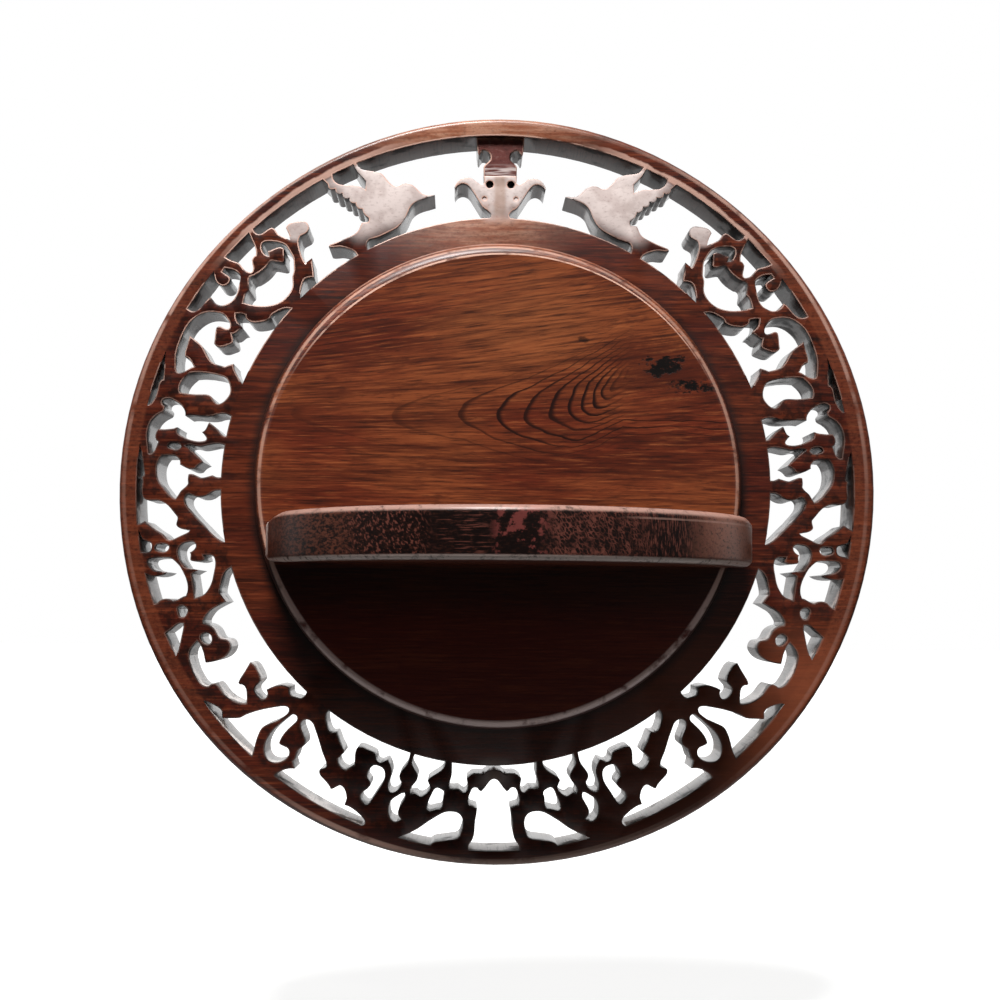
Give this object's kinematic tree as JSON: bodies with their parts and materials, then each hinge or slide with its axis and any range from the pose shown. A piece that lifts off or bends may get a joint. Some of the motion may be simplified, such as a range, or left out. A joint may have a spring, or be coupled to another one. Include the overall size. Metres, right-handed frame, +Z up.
{
  "type": "wall shelf",
  "caption": "Round fretwork wall panel with birds and vines, a raised centre disc and a fixed half-round wooden shelf, hung by a keyhole plate.",
  "frame": {"origin": "middle of the round panel's back face, on the wall", "axes": "+Z up, +Y into the wall, so the front of the shelf faces -Y; +X to the right seen from the front"},
  "size_m": [0.3048, 0.1258, 0.3048],
  "materials": {
    "panel_wood": "satin lacquer, reddish dark rosewood",
    "disc_wood": "satin lacquer, reddish dark rosewood",
    "shelf_wood": "satin lacquer, dark rosewood with paler worn edges",
    "screw_steel": "zinc plated",
    "hanger_brass": "plain stamped brass"
  },
  "bodies": {
    "root": {"openwork_panel": "panel_wood", "centre_disc": "disc_wood", "shelf_board": "shelf_wood", "shelf_screws": "screw_steel", "disc_screws": "screw_steel", "hanger_plate": "hanger_brass", "hanger_screws": "hanger_brass"}
  },
  "joints": []
}
